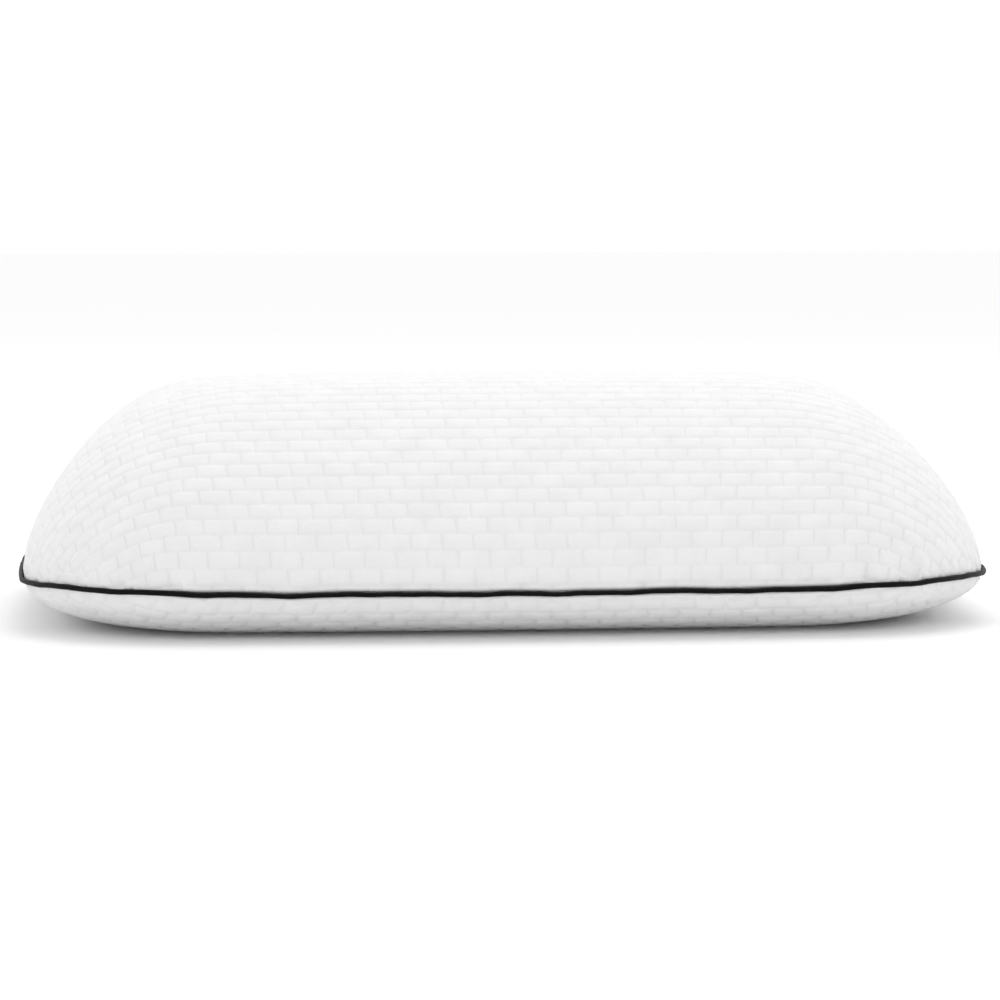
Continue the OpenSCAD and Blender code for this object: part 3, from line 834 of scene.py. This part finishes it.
def cover_panel(name, shell, inside, seed, node):
    """One panel of the cover: relief and puckers on the settled cloth, with its edge turned in."""
    reach_u, reach_v = shell.extent()
    first_row = -reach_v + FIRST_COURSE
    us = grid_lines(BRICK_LENGTH / 2, HEAD_OFFSETS, 0, reach_u + CUT_MARGIN)
    vs = grid_lines(BRICK_HEIGHT, BED_OFFSETS, first_row, reach_v + CUT_MARGIN)
    points, faces = cut_cloth(us, vs, inside)
    u, v = points[:, 0], points[:, 1]
    places, normals = shell.place(u, v), shell.normals(u, v)
    from_seam = np.maximum(shell.seam_distance(u, v), 0)
    out = brick_relief(u, v, first_row) * smooth(from_seam / RELIEF_START)
    out += pucker(places[:, 0], places[:, 1], from_seam, seed)
    free = smooth(from_seam / SEAM_HOLD)
    if not shell.upper:
        free = free * smooth(places[:, 2] / FLOOR_HOLD)
    out += read_lattice(*settle(shell, inside, seed), u, v) * free
    laid = places + normals * out[:, None]
    laid[:, 2] += seam_wander(places[:, 0], places[:, 1]) * np.exp(-from_seam / WANDER_REACH)
    laid[:, 2] = np.maximum(laid[:, 2], 0)
    sew_panel(name, shell, points, faces, laid, normals, COVER_THICKNESS, COVER, "cover_knit", node)


LINER_STEP = 6 * MM
LINER_SEAM_GAP = 0.05 * MM
LINER_SWELL = 0.12 * MM


def liner_panel(name, form, upper, node, seed):
    """A smooth sheet of the liner, with slow unevenness."""
    shell = Shell(form, LINER_ROOM, LINER_LIFT, upper, LINER_SEAM_GAP)
    reach_u, reach_v = shell.extent()
    lines = [grid_lines(LINER_STEP, [0], 0, reach + LINER_STEP) for reach in (reach_u, reach_v)]
    points, faces = cut_cloth(*lines, shell.seam_distance)
    u, v = points[:, 0], points[:, 1]
    places, normals = shell.place(u, v), shell.normals(u, v)
    swell = 1 + slow_wave(u + 0.7 * v, seed, (60 * MM, 37 * MM), 1.0)
    laid = places - normals * LINER_SWELL * swell[:, None]
    sew_panel(name, shell, points, faces, laid, normals, LINER_THICKNESS, JERSEY, "liner_jersey", node)


FOAM_RINGS = 19
FOAM_CROWDING = 1.2
FOAM_MIDDLE = (0.85, 0.7, 0.55, 0.4, 0.25, 0.12, 0.03)


def foam_block():
    """The moulded block: both shells joined along their shared edge."""
    halves = []
    for form, upper in ((TOP, True), (UNDER, False)):
        shell = Shell(form, FOAM_ROOM, FOAM_LIFT, upper, 0)
        angles = np.radians(90 * np.linspace(0, 1, FOAM_RINGS) ** FOAM_CROWDING)
        rings = [outline_ring(shell, a) for a in angles]
        middle = [rings[-1] * np.array([share, share, 1]) for share in FOAM_MIDDLE]
        for ring in middle:
            if upper:
                ring[:, 2] = HEIGHT - CROWN_RISE - FOAM_LIFT + crown(ring[:, 0], ring[:, 1])
        halves.append(rings + middle)
    rings = halves[1][::-1] + halves[0][1:]
    return loft_rings("foam_block", rings, FOAM)


def outline_ring(shell, angle):
    """One closed line round the pillow at this angle of the shell."""
    half_x, half_y, radius = shell.laid_rect(angle)
    x, y = rounded_outline(float(half_x), float(half_y), float(radius))
    return shell.raise_up(*bowed(x, y), np.full_like(x, angle))


OUTLINE_CORNER, OUTLINE_SIDE, OUTLINE_END = 24, 150, 80


def rounded_outline(half_x, half_y, radius):
    """Points round a rounded rectangle, anticlockwise from the foot of the +X +Y corner."""
    corners = [(1, 1, 0), (-1, 1, 90), (-1, -1, 180), (1, -1, 270)]
    counts = [OUTLINE_SIDE, OUTLINE_END, OUTLINE_SIDE, OUTLINE_END]
    xs, ys = [], []
    for (sx, sy, start), count, after in zip(corners, counts, corners[1:] + corners[:1]):
        turn = np.radians(start + np.linspace(0, 90, OUTLINE_CORNER))
        arc_x = sx * (half_x - radius) + radius * np.cos(turn)
        arc_y = sy * (half_y - radius) + radius * np.sin(turn)
        end = math.radians(start + 90)
        next_x = after[0] * (half_x - radius) + radius * math.cos(end)
        next_y = after[1] * (half_y - radius) + radius * math.sin(end)
        run = np.linspace(0, 1, count + 1)[1:-1]
        xs += [arc_x, arc_x[-1] + (next_x - arc_x[-1]) * run]
        ys += [arc_y, arc_y[-1] + (next_y - arc_y[-1]) * run]
    return np.concatenate(xs), np.concatenate(ys)


def band(a, b, n):
    """Faces between two closed rings of n points, which start at points a and b."""
    return [[a + i, a + (i + 1) % n, b + (i + 1) % n, b + i] for i in range(n)]


def loft_rings(name, rings, material):
    """A closed skin over rings of equal length, with a fan at each end."""
    n = len(rings[0])
    places = np.concatenate(rings)
    faces = []
    for k in range(len(rings) - 1):
        faces += band(k * n, (k + 1) * n, n)
    first, last = len(places), len(places) + 1
    places = np.concatenate([places, [rings[0].mean(0), rings[-1].mean(0)]])
    end = (len(rings) - 1) * n
    faces += [[(i + 1) % n, i, first] for i in range(n)]
    faces += [[end + i, end + (i + 1) % n, last] for i in range(n)]
    return new_mesh(name, places, faces, material)


# ---- Tubes: piping, thread and coil ----

def tube(path, radius, sides, closed=False, normal_hint=Vector((0, 0, 1))):
    """Points, faces and (along, around) coordinates of a tube swept along a path."""
    path = np.asarray(path, float)
    count = len(path)
    ahead = np.roll(path, -1, 0) - np.roll(path, 1, 0)
    if not closed:
        ahead[0], ahead[-1] = path[1] - path[0], path[-1] - path[-2]
    ahead /= np.linalg.norm(ahead, axis=1, keepdims=True)
    side = np.cross(ahead, np.array(normal_hint))
    side /= np.linalg.norm(side, axis=1, keepdims=True)
    up = np.cross(side, ahead)
    turn = np.linspace(0, 2 * math.pi, sides, endpoint=False)
    radius = np.broadcast_to(np.asarray(radius, float), (count,))
    ring = np.cos(turn)[None, :, None] * side[:, None] + np.sin(turn)[None, :, None] * up[:, None]
    places = path[:, None] + ring * radius[:, None, None]
    along = np.concatenate([[0], np.cumsum(np.linalg.norm(np.diff(path, axis=0), axis=1))])
    cloth = np.stack(np.broadcast_arrays(along[:, None], (turn * radius.mean())[None], 0.0), -1)
    faces = []
    for k in range(count if closed else count - 1):
        faces += band(k * sides, ((k + 1) % count) * sides, sides)
    if not closed:
        faces += [list(range(sides))[::-1], [(count - 1) * sides + i for i in range(sides)]]
    return places.reshape(-1, 3), faces, cloth.reshape(-1, 3)


class Gather:
    """Collects many small swept parts into one mesh."""

    def __init__(self):
        self.places, self.faces, self.cloth, self.count = [], [], [], 0

    def add(self, places, faces, cloth):
        self.places.append(places)
        self.cloth.append(cloth)
        self.faces += [[i + self.count for i in face] for face in faces]
        self.count += len(places)

    def piece(self, name, material):
        places, cloth = np.concatenate(self.places), np.concatenate(self.cloth)
        return new_mesh(name, places, self.faces, material, cloth)


PIPING_SIDES = 14
FILLER_SIDES = 8
SLEEVE_WALL = 0.5 * MM
LAP_PLACE = (-236 * MM, -HALF_WIDTH)
LAP_WIDTH = 7 * MM
LAP_DROP = 0.9 * MM
CORD_WAVER = 0.15 * MM


def seam_outline(outward):
    """The plan of a line round the pillow, this far out from the cover's edge."""
    return bowed(*rounded_outline(HALF_LENGTH + outward, HALF_WIDTH + outward, CORNER_RADIUS + outward))


def piping():
    """The cord and its sleeve, a little uneven, with a lap at the front left where the ends meet."""
    x, y = seam_outline(PIPING_OUT)
    path = np.stack([x, y, seam_z(x, y) + seam_wander(x, y)], 1)
    around = way_round(x, y)
    wobble = slow_wave(around, SEED + 5, (31 * MM, 19 * MM, 8 * MM), PERIMETER)
    lap = np.exp(-(np.hypot(x - LAP_PLACE[0], y - LAP_PLACE[1]) / LAP_WIDTH) ** 2)
    corner = near_corner(x, y, 0.4, 0.3)
    # Full in the corners, drawn thinner along the sides, and thickest over the lap
    radius = PIPING_RADIUS * (0.87 + 0.13 * corner + 0.03 * wobble + 0.16 * lap)
    waver = slow_wave(around, SEED + 6, (37 * MM, 21 * MM), PERIMETER)
    path[:, 2] += CORD_WAVER * waver - LAP_DROP * lap
    places, faces, cloth = tube(path, radius, PIPING_SIDES, closed=True)
    sleeve = new_mesh("piping_sleeve_sewn", places, faces, PIPING, cloth)
    put(sleeve, "pillow", "piping_black", "piping_sleeve")
    places, faces, cloth = tube(path, radius - SLEEVE_WALL, FILLER_SIDES, closed=True)
    filler = new_mesh("piping_filler", places, faces, FILLER, cloth)
    put(filler, "pillow", "filler_cotton", "piping_filler_cord")


# How far out from the cover's edge the flange is measured, and half its thickness there
FLANGE_STATIONS = ((PIPING_OUT, 0.55 * MM), (-0.5 * MM, 0.42 * MM), (-2.4 * MM, 0.3 * MM))


def piping_flange_seam_shade():
    """The strip's folded edges, which close the seam between both panels behind the cord. Black, they are
    partly the real flange and partly painted shade in the seam's crevice.
    """
    rings = []
    for outward, half in FLANGE_STATIONS:
        for side in (-1, 1):
            x, y = seam_outline(outward)
            z = seam_z(x, y) + seam_wander(x, y) + side * half
            rings.append(np.stack([x, y, z], 1))
    order = [0, 2, 4, 5, 3, 1]
    n = len(rings[0])
    faces = []
    for a, b in zip(order, order[1:] + order[:1]):
        faces += band(a * n, b * n, n)
    places = np.concatenate(rings)
    along = np.tile(way_round(rings[0][:, 0], rings[0][:, 1]), len(rings))
    cloth = np.stack([along, places[:, 2], 0 * along], 1)
    # Black piping cloth: the real flange, which also paints the shade in the seam's crevice behind the
    # cord.
    strip = new_mesh("piping_flange_seam_shade", places, faces, PIPING, cloth)
    put(strip, "pillow", "piping_black")


def on_zip(x, down, out):
    """A point on the zip: along it, down from the middle of the chain, and outwards from the tape."""
    return Vector((x, 0, 0)) + CHAIN + DOWNWARD * down + OUTWARD * out


COIL_PITCH = 1.35 * MM
COIL_WIRE = 0.34 * MM
COIL_INNER, COIL_OUTER, COIL_TALL = 0.95 * MM, 3.15 * MM, 1.9 * MM
COIL_STEPS = 12
COIL_BULGE = 0.35
WIRE_SIDES = 6
TAPE_OUT = 0.05 * MM


def coil(name, side, node):
    """One row of coil: a wire wound in flat loops, with a bulge at each loop's inner end."""
    low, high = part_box(node)
    half = (high.x - low.x) / 2 - COIL_WIRE
    turns = int(2 * half / COIL_PITCH)
    phase = np.linspace(0, 2 * math.pi * turns, turns * COIL_STEPS + 1)
    along = (phase / (2 * math.pi) - turns / 2) * COIL_PITCH + (side > 0) * COIL_PITCH / 2
    along = np.clip(along, -half, half)
    middle = (COIL_INNER + COIL_OUTER) / 2
    reach = (COIL_OUTER - COIL_INNER) / 2 - COIL_WIRE
    down = side * (middle - np.cos(phase) * reach)
    lift = TAPE_OUT + COIL_TALL / 2 + np.sin(phase) * (COIL_TALL / 2 - COIL_WIRE)
    path = [tuple(on_zip(x, d, o)) for x, d, o in zip(along, down, lift)]
    head = 1 + COIL_BULGE * np.maximum(np.cos(phase), 0) ** 4
    gather = Gather()
    gather.add(*tube(path, COIL_WIRE * head, WIRE_SIDES, normal_hint=Vector((1, 0, 0))))
    put(gather.piece(name, COIL), "pillow", "zip_coil", node)


STITCH_LENGTH = 2.9 * MM
STITCH_PITCH = 3.8 * MM
STITCH_POINTS = 9
STITCH_SLIP = 0.06 * MM
THREAD_RADIUS = 0.2 * MM


def stitch(gather, start, end, lift):
    """One thread stitch: it rises out of the cloth, runs along and dips in again."""
    path = []
    steps = np.linspace(0, 1, STITCH_POINTS)
    for t in steps:
        height = THREAD_RADIUS * (1.25 * math.sin(math.pi * t) ** 0.5 - 0.75)
        path.append(tuple(start.lerp(end, t) + lift * height))
    taper = THREAD_RADIUS * (0.75 + 0.25 * np.sin(math.pi * steps))
    gather.add(*tube(path, taper, WIRE_SIDES, normal_hint=lift))


def stitch_row(name, node, lift):
    """A row of stitches where the CAD's row lies."""
    low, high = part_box(node)
    count = round((high.x - low.x - STITCH_LENGTH) / STITCH_PITCH) + 1
    middle = (low + high) / 2
    rng = np.random.default_rng(SEED + count)
    gather = Gather()
    for k in range(count):
        x = (k - (count - 1) / 2) * STITCH_PITCH
        start_slip, end_slip = rng.normal(0, STITCH_SLIP, 2)
        base = Vector((x, middle.y, middle.z))
        half = Vector((STITCH_LENGTH / 2, 0, 0))
        start = base - half + DOWNWARD * float(start_slip)
        end = base + half + DOWNWARD * float(end_slip)
        stitch(gather, start, end, lift)
    put(gather.piece(name, THREAD), "pillow", "thread", node)


TACK_THREADS = 19
TACK_PITCH = 0.44 * MM
TACK_SLANT = 0.25 * MM
TACK_HALF = 0.9 * MM
TACK_OUT = 0.28 * MM


def bartacks():
    """A dense zigzag of thread across each end of the zip's opening."""
    rng = np.random.default_rng(SEED + 3)
    gather = Gather()
    for side in (-1, 1):
        centre = side * (bar_high.x - TACK_HALF)
        for k in range(TACK_THREADS):
            down = (k - TACK_THREADS // 2) * TACK_PITCH
            slant = TACK_SLANT * (-1) ** k
            reach = TACK_HALF * (1 + rng.normal(0, 0.05))
            start = on_zip(centre - reach, down - slant, TACK_OUT)
            end = on_zip(centre + reach, down + slant, TACK_OUT)
            stitch(gather, start, end, OUTWARD)
    put(gather.piece("zip_bartack_threads", THREAD), "pillow", "thread", "zip_bartacks")


# ---- Care label ----

LABEL_COLUMNS = 13
LABEL_ROWS = 34
LABEL_FROM, LABEL_TO = 4, 58
LABEL_PROUD = 0.25 * MM
LABEL_CLEAR = 0.15 * MM
PLY_GAP = 0.42 * MM
FOLD_REACH = 0.4 * MM
LABEL_CURL = 0.5 * MM
LABEL_WAVE = 0.18 * MM
RIPPLES = 190


def care_label():
    """A blank satin loop, folded at its foot, hanging from the end seam over the underside's curve."""
    low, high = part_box("care_label")
    middle = (low.y + high.y) / 2
    angles = np.radians(np.linspace(LABEL_FROM, LABEL_TO, LABEL_ROWS))
    shell = Shell(UNDER, -LABEL_PROUD, 0, False, 0)
    spine = []
    for a in angles:
        half_x = float(shell.laid_rect(a)[0])
        spine.append(shell.raise_up(np.array(half_x), np.array(0.0), np.array(a)))
    spine = np.array(spine)[:, [0, 2]]
    ahead = np.gradient(spine, axis=0)
    ahead /= np.linalg.norm(ahead, axis=1, keepdims=True)
    out = np.stack([-ahead[:, 1], ahead[:, 0]], 1)
    out *= np.sign(out[:, :1])
    run = Shell.arc(spine[:, 0], spine[:, 1])
    near = spine + out * LABEL_CLEAR
    far = spine + out * (LABEL_CLEAR + PLY_GAP)
    fold = [spine[-1] + out[-1] * (LABEL_CLEAR + PLY_GAP / 2) + FOLD_REACH * ahead[-1]]
    line = np.concatenate([near, fold, far[::-1]])
    length = np.concatenate([run, [run[-1] + FOLD_REACH], 2 * run[-1] + 2 * FOLD_REACH - run[::-1]])
    lift = np.concatenate([out, [out[-1]], out[::-1]])
    places, cloth = [], []
    for k in range(LABEL_COLUMNS):
        across = (k / (LABEL_COLUMNS - 1) - 0.5) * (high.y - low.y)
        droop = smooth(length / run[-1]) * smooth(2 - length / run[-1])
        curl = LABEL_CURL * (2 * k / (LABEL_COLUMNS - 1) - 1) ** 4 * droop
        wave = LABEL_WAVE * np.sin(length * RIPPLES + 1.1) * droop
        point = line + lift * np.maximum(curl + wave, 0)[:, None]
        bow = END_BOW * ((middle + across) / HALF_WIDTH) ** 2
        places.append(np.stack([point[:, 0] - bow, np.full(len(point), middle + across), point[:, 1]], 1))
        cloth.append(np.stack([np.full(len(point), across), length, 0 * length], 1))
    rows = len(line)
    faces = [[a * rows + i, a * rows + i + 1, (a + 1) * rows + i + 1, (a + 1) * rows + i]
             for a in range(LABEL_COLUMNS - 1) for i in range(rows - 1)]
    label = new_mesh("care_label_satin", np.concatenate(places), faces, SATIN, np.concatenate(cloth))
    put(label, "pillow", "label_satin", "care_label")


# ---- Studio ----

FLOOR_REACH = 14.0
FLOOR_DROP = 0.2 * MM
FRONT_WALL, BACK_WALL, CEILING = 0.55, 1.03, 1.3
LIGHT_AIM = Vector((0, 0, 50 * MM))


def studio():
    """A plain pale floor and soft light. Each lamp's size is in metres and its power in watts."""
    floor_mesh = bpy.data.meshes.new("floor")
    corners = [(x * FLOOR_REACH, y * FLOOR_REACH, 0) for x, y in ((-1, -1), (1, -1), (1, 1), (-1, 1))]
    floor_mesh.from_pydata(corners, [], [(0, 1, 2, 3)])
    look = Look("floor_paper", (0.95, 0.95, 0.95), 0.9)
    look.colour(look.ramp(look.noise(look.place(), 3.0), (0.945, 0.945, 0.945), (0.955, 0.955, 0.955)))
    floor_mesh.materials.append(look.material)
    floor = bpy.data.objects.new("floor", floor_mesh)
    bpy.context.scene.collection.objects.link(floor)
    floor.location.z = -FLOOR_DROP
    studio_walls()
    area_light("over", (0.5, 0.8, 2.4), size=2.6, power=16)
    area_light("low_front", (-0.2, -2.4, 0.3), size=0.5, power=6)
    bpy.context.scene.view_settings.view_transform = "Standard"


def studio_walls():
    """White walls and a brighter ceiling, a little darker at the front, where no lamp stands."""
    world = bpy.data.worlds.new("studio")
    bpy.context.scene.world = world
    world.use_nodes = True
    nodes, links = world.node_tree.nodes, world.node_tree.links
    place = nodes.new("ShaderNodeTexCoord")
    split = nodes.new("ShaderNodeSeparateXYZ")
    links.new(place.outputs["Generated"], split.inputs[0])

    def graded(axis, ends):
        node = nodes.new("ShaderNodeMapRange")
        for socket, value in zip(("From Min", "From Max", "To Min", "To Max"), ends):
            node.inputs[socket].default_value = value
        links.new(split.outputs[axis], node.inputs["Value"])
        return node

    forward = graded("Y", (-1.0, 0.6, FRONT_WALL, BACK_WALL))
    forward.interpolation_type = "SMOOTHSTEP"
    ceiling = graded("Z", (0.0, 1.0, 1.0, CEILING))
    both = nodes.new("ShaderNodeMath")
    both.operation = "MULTIPLY"
    links.new(forward.outputs["Result"], both.inputs[0])
    links.new(ceiling.outputs["Result"], both.inputs[1])
    links.new(both.outputs[0], nodes["Background"].inputs["Strength"])
    nodes["Background"].inputs["Color"].default_value = (1, 1, 1, 1)


def area_light(name, place, size, power):
    data = bpy.data.lights.new(name, "AREA")
    data.shape = "DISK"
    data.size = size
    data.energy = power
    lamp = bpy.data.objects.new(name, data)
    bpy.context.scene.collection.objects.link(lamp)
    lamp.location = place
    lamp.visible_camera = False
    lamp.rotation_mode = "QUATERNION"
    lamp.rotation_quaternion = (LIGHT_AIM - Vector(place)).to_track_quat("-Z", "Y")


# ---- Assembly ----

make_camera()
studio()

cover_panel("cover_top_knit", COVER_TOP, COVER_TOP.seam_distance, SEED + 1, "cover_top_panel")
cover_panel("cover_underside", COVER_UNDER, under_inside, SEED + 2, "cover_bottom_panel")

liner_panel("liner_top_jersey", TOP, True, "liner_top", 7)
liner_panel("liner_bottom_jersey", UNDER, False, "liner_bottom", 8)

foam = put(foam_block(), "pillow", "foam", "foam_core")

piping()
piping_flange_seam_shade()
coil("zip_coil_upper_wound", -1, "zip_coil_upper")
coil("zip_coil_lower_wound", 1, "zip_coil_lower")
stitch_row("zip_top_stitch_threads", "zip_top_stitch", OUTWARD)
stitch_row("zip_seam_stitch_threads", "zip_seam_stitch", Vector((0, -1, 0)))
bartacks()
care_label()

dress(["zip_tape_upper", "zip_tape_lower"], TAPE)
dress(["zip_top_stops", "zip_bottom_stop"], CLIP, 0.15 * MM)
dress(["zip_slider_body", "zip_slider_bridge", "zip_pull_tab"], ENAMEL, 0.18 * MM)
dress(["liner_seam_thread", "cover_seam_thread"], HIDDEN_THREAD)
